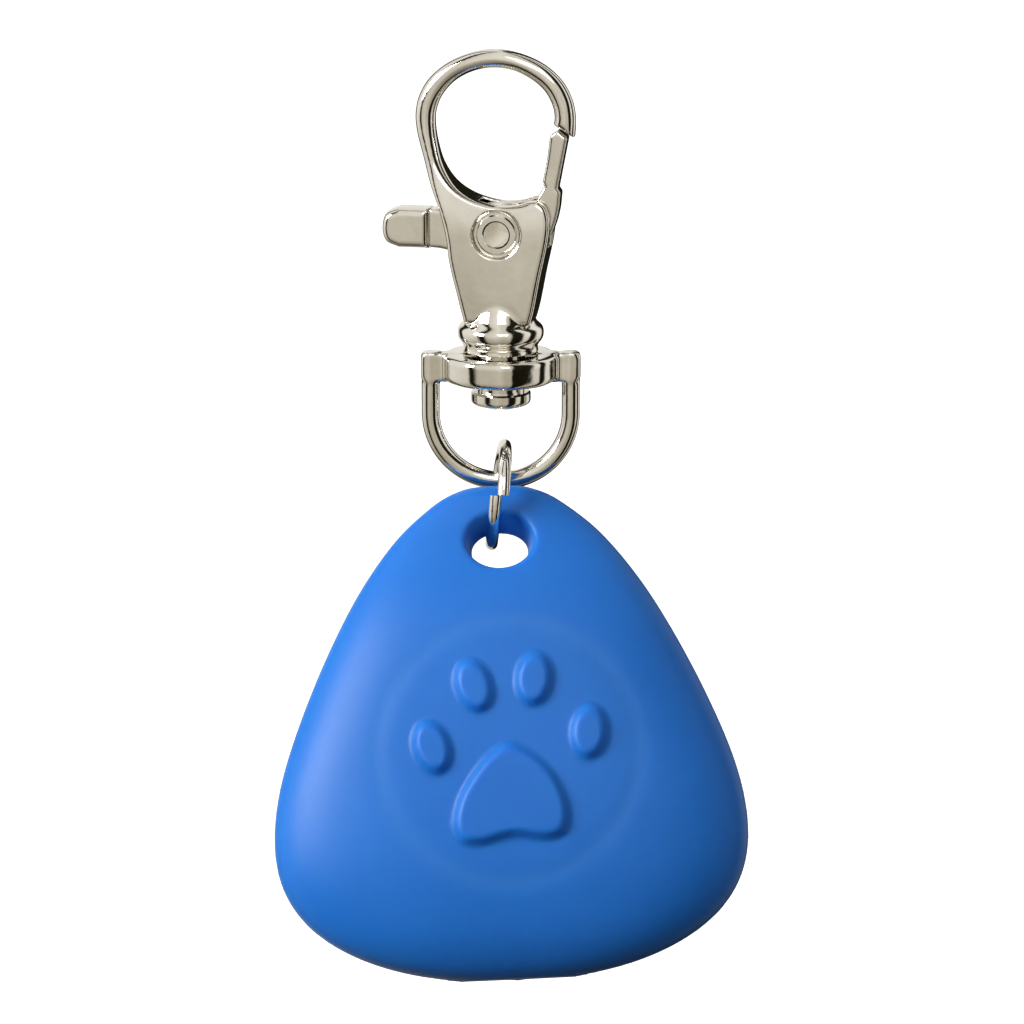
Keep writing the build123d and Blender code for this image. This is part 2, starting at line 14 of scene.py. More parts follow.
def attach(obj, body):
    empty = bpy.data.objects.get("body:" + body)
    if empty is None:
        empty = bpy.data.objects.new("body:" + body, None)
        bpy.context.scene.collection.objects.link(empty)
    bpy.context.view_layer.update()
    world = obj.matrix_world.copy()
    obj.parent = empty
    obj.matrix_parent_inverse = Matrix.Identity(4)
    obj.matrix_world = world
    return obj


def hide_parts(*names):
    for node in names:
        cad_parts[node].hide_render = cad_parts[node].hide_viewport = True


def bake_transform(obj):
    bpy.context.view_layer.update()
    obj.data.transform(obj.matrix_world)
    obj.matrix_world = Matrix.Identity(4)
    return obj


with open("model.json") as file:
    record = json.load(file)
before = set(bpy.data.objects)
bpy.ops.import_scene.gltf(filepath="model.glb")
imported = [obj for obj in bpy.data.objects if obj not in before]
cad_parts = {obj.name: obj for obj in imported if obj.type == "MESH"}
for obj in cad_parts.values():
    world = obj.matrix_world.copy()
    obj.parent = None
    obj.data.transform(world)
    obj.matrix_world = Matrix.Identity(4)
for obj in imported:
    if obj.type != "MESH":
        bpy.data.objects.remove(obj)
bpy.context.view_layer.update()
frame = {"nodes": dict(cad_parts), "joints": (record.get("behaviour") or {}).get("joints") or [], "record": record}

MM = 0.001
SKIN_STEP = 0.19     # grid steps of the meshed fields
METAL_STEP = 0.11

# ---------------------------------------------------------------- frames of the leaning parts
TAG_SETBACK = 6.35                      # from the mount forward to the tag's origin
TAG_ROLL = math.radians(-2.6)
SWIVEL_X = 0.47                         # swivel axis in the clasp's frame
PIVOT_X, PIVOT_Z = 0.4766, -8.8         # lever pivot in the hook's frame, x on the swivel axis


def joint_axis(name):
    joints = {joint["name"]: joint for joint in frame["joints"]}
    return Vector(joints[name]["axis"]).normalized()


press_axis = joint_axis("paw_press")    # the tag's depth, front to back
tag_origin = Vector(frame["record"]["mounts"][1]["pos_m"]) - press_axis * TAG_SETBACK * MM
TAG = (Matrix.Translation(tag_origin) @ Matrix.Rotation(math.asin(press_axis.z), 4, "X")
       @ Matrix.Rotation(TAG_ROLL, 4, "Y"))
CLASP = Matrix.Rotation(math.asin(-joint_axis("swivel_turn").y), 4, "X")
hook_turn = math.asin(joint_axis("lever_pivot").x)
HOOK = (CLASP @ Matrix.Translation((SWIVEL_X * MM, 0, 0)) @ Matrix.Rotation(hook_turn, 4, "Z")
        @ Matrix.Translation((-PIVOT_X * MM, 0, 0)))

# ---------------------------------------------------------------- meshing a signed field
CORNERS = np.array([(i, j, k) for i in (0, 1) for j in (0, 1) for k in (0, 1)])
SETTLE_PASSES = 2


def surface_nets(field, low, step):
    """Vertices and quads of the zero level of field."""
    inside = field < 0
    last = np.array(field.shape) - 1
    filled = sum(inside[i:last[0] + i, j:last[1] + j, k:last[2] + k].astype(np.int8)
                 for i, j, k in CORNERS)
    active = (filled > 0) & (filled < 8)
    index = -np.ones(active.shape, np.int64)
    cells = np.argwhere(active)
    index[active] = np.arange(len(cells))
    values = np.stack([field[tuple((cells + corner).T)] for corner in CORNERS], 1)

    # each vertex is the mean of the crossings on its cell's edges
    total = np.zeros((len(cells), 3))
    count = np.zeros(len(cells))
    for i in range(8):
        for j in range(i + 1, 8):
            if np.abs(CORNERS[i] - CORNERS[j]).sum() != 1:
                continue
            start, end = values[:, i], values[:, j]
            cut = (start < 0) != (end < 0)
            along = np.where(cut, start / np.where(cut, start - end, 1.0), 0.0)
            point = CORNERS[i] + along[:, None] * (CORNERS[j] - CORNERS[i])
            total[cut] += point[cut]
            count[cut] += 1
    verts = (cells + total / count[:, None]) * step + low

    # one quad round every grid edge that crosses the surface
    faces = []
    for axis in range(3):
        side_a, side_b = [k for k in range(3) if k != axis]
        near_part, far_part = [slice(1, -1)] * 3, [slice(1, -1)] * 3
        near_part[axis] = slice(0, -1)
        far_part[axis] = slice(1, None)
        near, far = inside[tuple(near_part)], inside[tuple(far_part)]
        for flip in (False, True):
            hits = np.argwhere((~near & far) if flip else (near & ~far))
            corners = []
            for shift_a, shift_b in ((0, 0), (1, 0), (1, 1), (0, 1)):
                cell = hits.copy()
                cell[:, side_a] += shift_a
                cell[:, side_b] += shift_b
                corners.append(index[tuple(cell.T)])
            quads = np.stack(corners, 1)
            if flip != (axis == 1):
                quads = quads[:, ::-1]
            faces.append(quads)
    return verts, np.concatenate(faces)


def trilinear(field, low, step, points):
    """Value of field at the points."""
    place = np.clip((points - low) / step, 0, np.array(field.shape) - 1.001)
    cell = place.astype(np.int64)
    part = place - cell
    total = 0
    for corner in CORNERS:
        side = np.where(corner, part, 1 - part)
        weight = side[:, 0] * side[:, 1] * side[:, 2]
        total = total + weight * field[tuple((cell + corner).T)]
    return total


def bilinear(table, column, row):
    """Value of a 2-D table at fractional indices."""
    i, j = column.astype(int), row.astype(int)
    x, z = column - i, row - j
    return (table[i, j] * (1 - x) * (1 - z) + table[i + 1, j] * x * (1 - z)
            + table[i, j + 1] * (1 - x) * z + table[i + 1, j + 1] * x * z)


def grid_mesh(name, function, low, high, step, place):
    """A smooth closed mesh of function(x, y, z) < 0 in the box low to high, put in place."""
    low = np.array(low, float)
    count = np.ceil((np.array(high) - low) / step).astype(int) + 1
    axes = [low[k] + step * np.arange(count[k]) for k in range(3)]
    x, y, z = np.meshgrid(*axes, indexing="ij")
    field = function(x, y, z).astype(np.float32)
    verts, faces = surface_nets(field, low, step)
    slopes = np.gradient(field, step)
    for _ in range(SETTLE_PASSES):      # pull the vertices onto the surface
        slope = np.stack([trilinear(part, low, step, verts) for part in slopes], 1)
        value = trilinear(field, low, step, verts)
        move = value[:, None] * slope / np.maximum((slope * slope).sum(1), 0.2)[:, None]
        size = np.linalg.norm(move, axis=1)
        verts = verts - move * np.minimum(1, 0.5 * step / np.maximum(size, 1e-9))[:, None]
    mesh = bpy.data.meshes.new(name)
    mesh.vertices.add(len(verts))
    mesh.vertices.foreach_set("co", (verts * MM).astype(np.float32).ravel())
    mesh.loops.add(faces.size)
    mesh.loops.foreach_set("vertex_index", faces.astype(np.int32).ravel())
    mesh.polygons.add(len(faces))
    mesh.polygons.foreach_set("loop_start", (np.arange(len(faces)) * 4).astype(np.int32))
    mesh.polygons.foreach_set("use_smooth", np.ones(len(faces), bool))
    mesh.update(calc_edges=True)
    mesh.validate()
    mesh.transform(place)
    return add_object(name, mesh)


def add_object(name, data):
    obj = bpy.data.objects.new(name, data)
    bpy.context.scene.collection.objects.link(obj)
    return obj


# ---------------------------------------------------------------- field and curve tools
def smin(first, second, blend):
    """Union with a fillet."""
    mix = np.clip(0.5 + 0.5 * (second - first) / blend, 0, 1)
    return second * (1 - mix) + first * mix - blend * mix * (1 - mix)


def smax(first, second, blend):
    """Intersection with a rounded edge."""
    return -smin(-first, -second, blend)


def smooth(value):
    value = np.clip(value, 0, 1)
    return value * value * (3 - 2 * value)


def slab(outline, depth, half, edge):
    """An outline's field given a half depth, with edges rounded by a radius."""
    out, up = outline + edge, np.abs(depth) - half + edge
    return (np.minimum(np.maximum(out, up), 0)
            + np.hypot(np.maximum(out, 0), np.maximum(up, 0)) - edge)


def spline_points(points, count, closed=False):
    """Catmull-Rom through the points, count steps to each span."""
    points = np.array(points, float)
    if closed:
        knots = np.vstack([points[-1], points, points[0], points[1]])
    else:
        knots = np.vstack([2 * points[0] - points[1], points, 2 * points[-1] - points[-2]])
    t = np.linspace(0, 1, count, endpoint=False)[:, None]
    curve = []
    for i in range(1, len(knots) - 2):
        before, start, end, after = knots[i - 1:i + 3]
        curve.append(0.5 * (2 * start + (end - before) * t
                            + (2 * before - 5 * start + 4 * end - after) * t ** 2
                            + (3 * start - before - 3 * end + after) * t ** 3))
    return np.vstack(curve if closed else curve + [points[-1]])


def natural_cubic(knots, values, query):
    """Natural cubic spline through the values, at the query places."""
    count = len(knots)
    gap = np.diff(knots)
    system = np.zeros((count, count))
    target = np.zeros(count)
    system[0, 0] = system[-1, -1] = 1
    for i in range(1, count - 1):
        system[i, i - 1:i + 2] = gap[i - 1], 2 * (gap[i - 1] + gap[i]), gap[i]
        target[i] = 6 * ((values[i + 1] - values[i]) / gap[i]
                         - (values[i] - values[i - 1]) / gap[i - 1])
    bend = np.linalg.solve(system, target)
    i = np.clip(np.searchsorted(knots, query) - 1, 0, count - 2)
    t = query - knots[i]
    span = gap[i]
    slope = (values[i + 1] - values[i]) / span - span * (2 * bend[i] + bend[i + 1]) / 6
    return (values[i] + slope * t + bend[i] / 2 * t ** 2
            + (bend[i + 1] - bend[i]) / (6 * span) * t ** 3)


def polygon_distance(x, z, points):
    """Signed distance to a closed polygon on a 2-D grid."""
    square = np.full(x.shape, 1e9)
    inside = np.zeros(x.shape, bool)
    for i in range(len(points)):
        start_x, start_z = points[i]
        end_x, end_z = points[(i + 1) % len(points)]
        edge_x, edge_z = end_x - start_x, end_z - start_z
        from_x, from_z = x - start_x, z - start_z
        along = np.clip((from_x * edge_x + from_z * edge_z)
                        / max(edge_x * edge_x + edge_z * edge_z, 1e-12), 0, 1)
        square = np.minimum(square, (from_x - edge_x * along) ** 2
                            + (from_z - edge_z * along) ** 2)
        spans = ((start_z <= z) & (end_z > z)) | ((end_z <= z) & (start_z > z))
        if edge_z:
            inside ^= spans & (x < start_x + (z - start_z) * edge_x / edge_z)
    dist = np.sqrt(square)
    return np.where(inside, -dist, dist)


# ---------------------------------------------------------------- silicone skin, in the tag's frame
# height, half width, half depth, from top to bottom
ROWS = np.array([
    (22.60, 0.0, 0.0), (22.1, 3.45, 1.42), (21.0, 5.45, 1.92), (19.0, 7.9, 2.32),
    (16.4, 10.2, 3.25), (13.2, 12.4, 4.66), (9.9, 14.25, 5.52), (6.0, 16.15, 5.98),
    (2.1, 17.8, 6.20), (-2.5, 19.35, 6.30), (-7.1, 20.05, 6.20), (-11.0, 19.55, 5.85),
    (-14.2, 17.7, 5.15), (-16.5, 14.9, 4.30), (-18.3, 11.0, 3.15), (-19.3, 7.0, 2.05),
    (-19.85, 0.0, 0.0)])[::-1]
ROW_LIFT = 0.95                         # raises all the rows
SECTION_POWER = 2.5                     # superellipse exponent of a level section
EVEN_REACH, EVEN_SPREAD = 24, 9.0       # Gaussian over the row profile, in samples
# x, z round the main pad of the paw
PAD = [(0.0, 0.6), (2.05, -0.35), (3.85, -2.25), (4.85, -4.9), (4.50, -7.00), (2.85, -7.60),
       (0.2, -7.25), (-2.4, -7.80), (-4.15, -7.60), (-4.85, -6.1), (-4.35, -3.9),
       (-3.2, -2.0), (-1.75, -0.35)]
# centre x, centre z, turn in degrees
TOES = [(-2.62, 5.55, 16), (2.43, 5.90, -8), (-6.32, 0.50, 16), (6.83, 1.25, -8)]
TOE_X, TOE_Z = 1.62, 2.35               # half axes of a toe
PAW_REACH, PAW_CELL = 11, 0.1           # half size and cell of the paw's height table
PAW_RAISE = 0.66
PRESS_RING = 10.9                       # radius of the line that bounds the press area
HOLE_X = 0.10                           # hanging hole
POCKET_R, POCKET_FRONT, POCKET_BACK = 12.80, -3.93, 3.88
STEP_R, STEP_FRONT, STEP_BACK = 10.65, -4.915, -3.0
MOUTH_R, MOUTH_FRONT = 10.5, 2.0

ROWS[:, 0] += ROW_LIFT
row_z = np.linspace(ROWS[0, 0], ROWS[-1, 0], 900)
kernel = np.exp(-0.5 * (np.arange(-EVEN_REACH, EVEN_REACH + 1) / EVEN_SPREAD) ** 2)
kernel /= kernel.sum()


def row_profile(column):
    """Squared half size along row_z, with small waves taken out and its ends kept."""
    values = natural_cubic(ROWS[:, 0], ROWS[:, column] ** 2, row_z)
    padded = np.concatenate([2 * values[0] - values[EVEN_REACH:0:-1], values,
                             2 * values[-1] - values[-2:-EVEN_REACH - 2:-1]])
    return np.convolve(padded, kernel, "valid")


width_sq, depth_sq = row_profile(1), row_profile(2)


def paw_height(x, z):
    """Height of the raised paw on the front, 0 to 1."""
    line = np.linspace(-PAW_REACH, PAW_REACH, 221)
    grid_x, grid_z = np.meshgrid(line, line, indexing="ij")
    dist = polygon_distance(grid_x, grid_z, spline_points(PAD, 5, closed=True))
    for toe_x, toe_z, turn in TOES:
        angle = math.radians(turn)
        from_x, from_z = grid_x - toe_x, grid_z - toe_z
        across = from_x * math.cos(angle) + from_z * math.sin(angle)
        along = -from_x * math.sin(angle) + from_z * math.cos(angle)
        level = np.sqrt((across / TOE_X) ** 2 + (along / TOE_Z) ** 2)
        slope = np.sqrt((across / TOE_X ** 2) ** 2 + (along / TOE_Z ** 2) ** 2)
        dist = np.minimum(dist, level * (level - 1) / np.maximum(slope, 1e-3))
    table = smooth((0.24 - dist) / 0.96)
    column, row = (x + PAW_REACH) / PAW_CELL, (z + PAW_REACH) / PAW_CELL
    known = (column > 0) & (row > 0) & (column < 219.9) & (row < 219.9)
    height = np.zeros(x.shape)
    height[known] = bilinear(table, column[known], row[known])
    return height


def skin_body(x, y, z):
    """The closed pebble shape."""
    wide = np.maximum(np.interp(z, row_z, width_sq, left=-1, right=-1), 0.02)
    deep = np.maximum(np.interp(z, row_z, depth_sq, left=-1, right=-1), 0.02)
    beyond = np.maximum(row_z[0] - z, 0) + np.maximum(z - row_z[-1], 0)
    level = ((x * x / wide) ** (SECTION_POWER / 2) + (y * y / deep) ** (SECTION_POWER / 2)
             + 1e-6) ** (1 / SECTION_POWER)
    level = np.minimum(level, 6.0) + beyond * 0.5
    slope_x, slope_y, slope_z = np.gradient(level, SKIN_STEP)
    slope = np.sqrt(slope_x ** 2 + slope_y ** 2 + slope_z ** 2)
    dist = np.clip((level - 1) / np.maximum(slope, 0.03), -4, 4)
    return smax(dist, np.maximum(row_z[0] + 0.08 - z, z - row_z[-1] + 0.05), 0.25)


def hanging_hole(x, y, z):
    """Its roof flares to both faces, its floor rises a little towards the rear."""
    ahead, behind = np.clip((0.5 - y) / 3.9, 0, 1.3), np.clip((y - 0.8) / 3.4, 0, 1.3)
    flare = ahead ** 1.15 + behind ** 1.15
    roof = 19.45 + 2.40 * flare
    sill = 15.82 + 0.55 * np.clip((y + 2.9) / 5.8, 0, 1)
    half_x = 2.42 + 0.68 * flare
    half_z, mid_z = 0.5 * (roof - sill), 0.5 * (roof + sill)
    level = np.sqrt(((x - HOLE_X) / half_x) ** 2 + ((z - mid_z) / half_z) ** 2 + 1e-6)
    slope = np.sqrt(((x - HOLE_X) / half_x ** 2) ** 2 + ((z - mid_z) / half_z ** 2) ** 2 + 1e-6)
    return np.clip(level * (level - 1) / slope, -3, 3)


def skin_field(x, y, z):
    dist = skin_body(x, y, z)
    radius = np.sqrt(x * x + z * z)
    # raised paw and the shallow ring round the press area, on the front only
    front = smooth((-y - 1.5) / 2.0)
    height = paw_height(x[:, 0, :], z[:, 0, :])[:, None, :]
    ring = np.exp(-((radius - PRESS_RING) / 0.8) ** 2)
    dist = dist - front * (PAW_RAISE * height - 0.045 * ring)
    # faint mould line round the edge
    dist = dist - 0.05 * np.exp(-(y / 0.13) ** 2) * (np.abs(y) < 0.6)
    dist = smax(dist, -hanging_hole(x, y, z), 0.55)
    # capsule pocket, step behind the press area, rear mouth with a soft lip
    pocket = smax(radius - POCKET_R, np.maximum(POCKET_FRONT - y, y - POCKET_BACK), 0.3)
    step = smax(radius - STEP_R, np.maximum(STEP_FRONT - y, y - STEP_BACK), 0.3)
    mouth = smax(radius - MOUTH_R, MOUTH_FRONT - y, 0.2)
    dist = np.maximum(dist, -smin(pocket, step, 0.05))
    return smax(dist, -mouth, 0.7)


# the skin is measured in its own frame before it is put in place
skin = grid_mesh("silicone_skin", skin_field, (-20.8, -7.6, -19.7), (20.8, 6.9, 24.2),
                 SKIN_STEP, Matrix.Identity(4))
skin_co = np.empty(len(skin.data.vertices) * 3, np.float32)
skin.data.vertices.foreach_get("co", skin_co)
skin_co = skin_co.reshape(-1, 3).astype(float) / MM
skin.data.transform(TAG)


# ---------------------------------------------------------------- materials
def set_inputs(tree, target, inputs):
    """Gives each input its value, or a link where the value is a socket."""
    for key, value in inputs.items():
        if isinstance(value, bpy.types.NodeSocket):
            tree.links.new(value, target.inputs[key])
        else:
            target.inputs[key].default_value = value


def node(tree, kind, inputs=None, **properties):
    new = tree.nodes.new(kind)
    for key, value in properties.items():
        setattr(new, key, value)
    set_inputs(tree, new, inputs or {})
    return new


def material(name):
    """An empty Principled material: itself, its node tree and its shader."""
    made = bpy.data.materials.new(name)
    made.use_nodes = True
    tree = made.node_tree
    tree.nodes.clear()
    output = node(tree, "ShaderNodeOutputMaterial")
    shader = node(tree, "ShaderNodeBsdfPrincipled")
    tree.links.new(shader.outputs[0], output.inputs[0])
    return made, tree, shader


def ramp(tree, source, stops):
    """Colour output of a ramp over (position, RGB) stops."""
    new = node(tree, "ShaderNodeValToRGB", {0: source})
    elements = new.color_ramp.elements
    while len(elements) < len(stops):
        elements.new(0.5)
    for element, (position, color) in zip(elements, stops):
        element.position = position
        element.color = (*color, 1)
    return new.outputs[0]


def noise(tree, coords, **inputs):
    inputs["Vector"] = coords.outputs["Object"]
    return node(tree, "ShaderNodeTexNoise", inputs).outputs["Fac"]


def bump(tree, **inputs):
    return node(tree, "ShaderNodeBump", inputs).outputs[0]


def metal(name, base, rough, wave, scale):
    """Plated metal: warm tint, slight casting unevenness, fine wear in the gloss."""
    made, tree, shader = material(name)
    coords = node(tree, "ShaderNodeTexCoord")
    big = noise(tree, coords, Scale=scale, Detail=3.0, Roughness=0.55)
    fine = noise(tree, coords, Scale=scale * 9, Detail=5.0, Roughness=0.6)
    tint = ramp(tree, big, [(0.3, tuple(part * 0.90 for part in base)), (0.7, base)])
    gloss = node(tree, "ShaderNodeMapRange",
                 {"Value": fine, "To Min": rough * 0.6, "To Max": rough * 1.7})
    uneven = bump(tree, Strength=wave, Distance=0.0004, Height=big)
    worn = bump(tree, Strength=0.02, Distance=0.00005, Height=fine, Normal=uneven)
    set_inputs(tree, shader, {"Metallic": 1.0, "Base Color": tint,
                              "Roughness": gloss.outputs[0], "Normal": worn})
    return made


def plastic():
    """Pale plastic with a fine grain."""
    made, tree, shader = material("case_plastic")
    grain = noise(tree, node(tree, "ShaderNodeTexCoord"), Scale=1600.0, Detail=4.0)
    tint = ramp(tree, grain, [(0.3, (0.78, 0.81, 0.84)), (0.7, (0.84, 0.86, 0.885))])
    set_inputs(tree, shader, {
        "Base Color": tint, "Roughness": 0.42,
        "Normal": bump(tree, Strength=0.12, Distance=0.0001, Height=grain)})
    return made


def silicone():
    """Soft blue, with a painted lighter turquoise halo round the press area that stands in for a soft shading
    change there.
    """
    made, tree, shader = material("blue_silicone")
    coords = node(tree, "ShaderNodeTexCoord")
    cloud = noise(tree, coords, Scale=90.0, Detail=2.0, Roughness=0.5)
    grain = noise(tree, coords, Scale=2600.0, Detail=3.0, Roughness=0.6)
    base = ramp(tree, cloud, [(0.3, (0.006, 0.138, 0.510)), (0.7, (0.009, 0.152, 0.545))])
    # painted highlight: a lighter turquoise halo round the press area, a shading change painted into the colour
    line = node(tree, "ShaderNodeAttribute", attribute_name="press_line")
    mix = node(tree, "ShaderNodeMix", {"Factor": line.outputs["Fac"], "A": base,
                                       "B": (0.05, 0.22, 0.56, 1)}, data_type="RGBA")
    set_inputs(tree, shader, {
        "Base Color": mix.outputs["Result"],
        "Roughness": 0.46,
        "Subsurface Weight": 0.6,
        "Subsurface Radius": (0.25, 0.55, 1.0),
        "Subsurface Scale": 0.0020,
        "IOR": 1.41,
        "Specular IOR Level": 0.42,
        "Sheen Weight": 0.04,
        "Sheen Roughness": 0.5,
        "Sheen Tint": (0.6, 0.8, 1.0, 1),
        "Normal": bump(tree, Strength=0.10, Distance=0.00006, Height=grain)})
    return made


# name, base colour, roughness, strength of the casting waves, noise scale
METALS = [("nickel_cast", (0.83, 0.80, 0.735), 0.07, 0.10, 380.0),
          ("nickel_wire", (0.86, 0.83, 0.77), 0.06, 0.03, 700.0),
          ("spring_steel", (0.52, 0.54, 0.57), 0.18, 0.05, 900.0),
          ("screw_steel", (0.50, 0.50, 0.52), 0.25, 0.05, 900.0)]
MATERIALS = {row[0]: metal(*row) for row in METALS}
MATERIALS["case_plastic"] = plastic()
MATERIALS["blue_silicone"] = silicone()
for entry in frame["record"]["subparts"]:
    part = frame["nodes"][entry["node"]]
    part.data.materials.clear()
    part.data.materials.append(MATERIALS[entry["material_slot"]])

# ---------------------------------------------------------------- skin replaces cover and press area
skin.data.materials.append(MATERIALS["blue_silicone"])
# painted highlight: weights for the lighter turquoise halo painted round the front press area
skin_radius = np.hypot(skin_co[:, 0], skin_co[:, 2])
press_line = np.exp(-((skin_radius - PRESS_RING) / 0.85) ** 2) * (skin_co[:, 1] < -2)
halo_paint_data = skin.data.attributes.new("press_line", "FLOAT", "POINT")
halo_paint_data.data.foreach_set("value", (0.20 * press_line).astype(np.float32))
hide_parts("silicone_cover", "paw_pad")
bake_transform(skin)


# ---------------------------------------------------------------- cast metal outlines, in x and z
def outline_field(points, low, high, cell=0.06):
    """Signed distance to a closed outline, looked up for a grid whose middle axis is depth."""
    line_x = np.arange(low[0], high[0] + cell, cell)
    line_z = np.arange(low[1], high[1] + cell, cell)
    table = polygon_distance(*np.meshgrid(line_x, line_z, indexing="ij"), points)

    def look(x, z):
        column = np.clip((x[:, 0, :] - low[0]) / cell, 0, len(line_x) - 1.001)
        row = np.clip((z[:, 0, :] - low[1]) / cell, 0, len(line_z) - 1.001)
        return bilinear(table, column, row)[:, None, :]
    return look


# the hook: up the left side and over the top, back round the inside, down the right side
OUTER = [(-2.36, -16.6), (-2.72, -15.2), (-3.07, -13.75), (-3.42, -12.35), (-3.70, -10.95),
         (-3.85, -9.55), (-4.18, -8.0), (-4.70, -6.4), (-5.42, -4.64), (-6.08, -2.54),
         (-6.70, -0.3), (-6.80, 1.3), (-6.45, 2.75), (-5.60, 4.15), (-4.05, 5.45),
         (-2.00, 6.35), (0.05, 6.66), (2.12, 6.35), (4.14, 5.50), (5.68, 4.20),
         (6.58, 2.65), (6.92, 1.0), (6.84, -0.9)]
INNER = [(4.95, 0.20), (5.12, 0.95), (4.93, 2.0), (4.30, 3.15), (3.22, 4.10), (1.70, 4.85),
         (0.05, 5.08), (-1.70, 4.80), (-3.25, 4.02), (-4.38, 2.85), (-4.97, 1.6),
         (-5.10, 0.3), (-4.88, -1.4), (-4.40, -3.1), (-3.50, -4.60), (-2.36, -5.55),
         (-1.00, -6.12), (0.60, -6.42), (2.20, -6.30), (3.25, -5.95)]
RIGHT = [(3.95, -5.90), (4.55, -6.35), (4.90, -7.2), (4.96, -8.3), (4.81, -9.55),
         (4.53, -10.95), (4.22, -12.35), (3.68, -15.2), (3.31, -16.6)]
# slot between the cheeks, for the lever
SLOT = [(-7.5, -5.6), (-4.9, -5.6), (-2.2, -6.7), (-0.6, -5.8), (1.6, -4.6), (7.5, -4.6),
        (7.5, -9.2), (4.2, -10.2), (3.6, -13.5), (-3.1, -13.5), (-7.5, -14.2)]
LEVER = np.vstack([
    spline_points([(3.35, -7.6), (3.60, -6.6), (3.75, -5.8), (4.15, -5.1)], 5),
    [(4.35, -4.78)],
    spline_points([(4.19, -4.50), (4.59, -2.35), (4.83, -0.41)], 5),
    [(5.50, 0.0), (6.31, -0.63), (5.49, -4.95)],
    spline_points([(5.74, -5.3), (5.58, -6.8), (5.18, -8.3), (4.50, -9.6), (2.9, -10.9),
                   (1.7, -11.75), (0.3, -12.0), (-1.4, -11.5), (-2.9, -10.8),
                   (-4.4, -10.4), (-5.4, -10.3)], 5),
    spline_points([(-8.2, -10.3), (-9.28, -9.8), (-9.6, -8.65), (-9.28, -7.45),
                   (-8.2, -6.95)], 6),
    spline_points([(-4.6, -6.97), (-2.8, -7.25), (-1.7, -7.05), (-0.8, -6.65),
                   (0.48, -6.48), (1.7, -6.70), (2.6, -7.35)], 5)])
TAB = np.vstack([
    [(-5.6, -10.28)],
    spline_points([(-8.2, -10.28), (-9.26, -9.78), (-9.58, -8.65), (-9.26, -7.47),
                   (-8.2, -6.97)], 6),
    [(-5.6, -6.99)]])
# z, half depth of the hook
DEPTHS = [(-20, 2.25), (-16.6, 2.25), (-13.0, 2.35), (-8.4, 2.35), (-6.3, 2.15), (-4.0, 1.55),
          (-0.5, 1.02), (2.5, 0.90), (8.0, 0.90)]
# z, radius of the turned collar at the foot of the hook
COLLAR = [(-19.6, 3.30), (-19.2, 3.28), (-18.75, 3.20), (-18.45, 3.34), (-18.10, 3.60),
          (-17.55, 3.72), (-17.0, 3.56), (-16.68, 3.22), (-16.45, 3.00), (-16.0, 2.80),
          (-15.2, 2.40), (-14.0, 2.0)]

hook_outline = np.vstack([spline_points(OUTER, 6), spline_points(INNER, 6),
                          spline_points(RIGHT, 4)])
hook_look = outline_field(hook_outline, (-8, -20), (8, 8))
slot_look = outline_field(SLOT, (-8, -20), (8, 8))
lever_look = outline_field(LEVER, (-11, -14), (8, 2))
tab_look = outline_field(TAB, (-11, -14), (8, 2))
depth_z = np.linspace(-20, 8, 400)
depth_half = np.interp(depth_z, *np.array(DEPTHS).T)
depth_half = np.convolve(np.pad(depth_half, 16, mode="edge"), np.ones(33) / 33, "valid")
collar_z = np.linspace(-19.6, -14.0, 200)
collar_r = natural_cubic(*np.array(COLLAR).T, collar_z)

# ---------------------------------------------------------------- cast metal fields
HOOK_FOOT, COLLAR_TOP = -19.2, -14.6
SLOT_HALF, ARM_HALF, TAB_HALF = 1.05, 0.97, 1.50
SWEEP_HOOK, SWEEP_LEVER = 10.32, 10.16  # radii about the pivot that trim hook tip and lever
HOOK_BORE, LEVER_BORE = 1.40, 1.45      # pivot bore radii
DISC_R, DISC_Z, DISC_HALF = 4.90, -20.60, 1.20
LOOP_R, LOOP_Z, LOOP_WIRE, LEG_TOP = 6.04, -24.7, 0.80, -19.35
BAR_X, BAR_Z, BAR_HALF_Z, BAR_HALF_Y = 6.80, -20.62, 1.27, 0.74
DISH_R, DISH_Z = 9.88, -31.02           # sphere that hollows the disc's underside
EYE_BORE = 2.10


def hook_field(x, y, z):
    """Hook with its collar, lever slot and pivot bore."""
    outline = hook_look(x, z)
    half = np.interp(z, depth_z, depth_half)
    # the cheeks are very slightly crowned
    half = half + 0.08 * smooth(-outline / 2.2) * smooth((-6.5 - z) / 2.0)
    dist = slab(outline, y, half, 0.46 + 0.38 * smooth((z + 6.5) / 4.0))
    # round cut at the hook's tip, centred on the pivot
    from_pivot = np.hypot(x - PIVOT_X, z - PIVOT_Z)
    tip = np.maximum(np.maximum(from_pivot - SWEEP_HOOK, 4.2 - (x - PIVOT_X)),
                     PIVOT_Z + 6.0 - z)
    dist = smax(dist, -tip, 0.12)
    bell = np.interp(z, collar_z, collar_r)
    collar = smax((np.hypot(x - PIVOT_X, y) - bell) * 0.85, z - COLLAR_TOP, 0.2)
    dist = smin(dist, collar, 0.16)
    dist = smax(dist, HOOK_FOOT - z, 0.10)
    slot = np.maximum(slot_look(x, z), np.abs(y) - SLOT_HALF)
    dist = smax(dist, -slot, 0.14)
    # shallow round recess in the outside of both cheeks
    recess = np.maximum(from_pivot - 2.05, 1.90 - np.abs(y))
    dist = smax(dist, -recess, 0.14)
    return np.maximum(dist, HOOK_BORE - from_pivot)


def lever_field(x, y, z):
    """Thin arm with a thicker thumb tab at the left, and a round pocket at the pivot."""
    arm = slab(lever_look(x, z), y, ARM_HALF, 0.30)
    tab = slab(tab_look(x, z), y, TAB_HALF, 0.55)
    from_pivot = np.hypot(x - PIVOT_X, z - PIVOT_Z)
    dist = smax(smin(arm, tab, 0.25), from_pivot - SWEEP_LEVER, 0.12)
    dist = np.maximum(dist, LEVER_BORE - from_pivot)
    pocket = np.maximum(from_pivot - 2.02, np.abs(y - 0.45) - 0.53)
    return np.maximum(dist, -pocket)


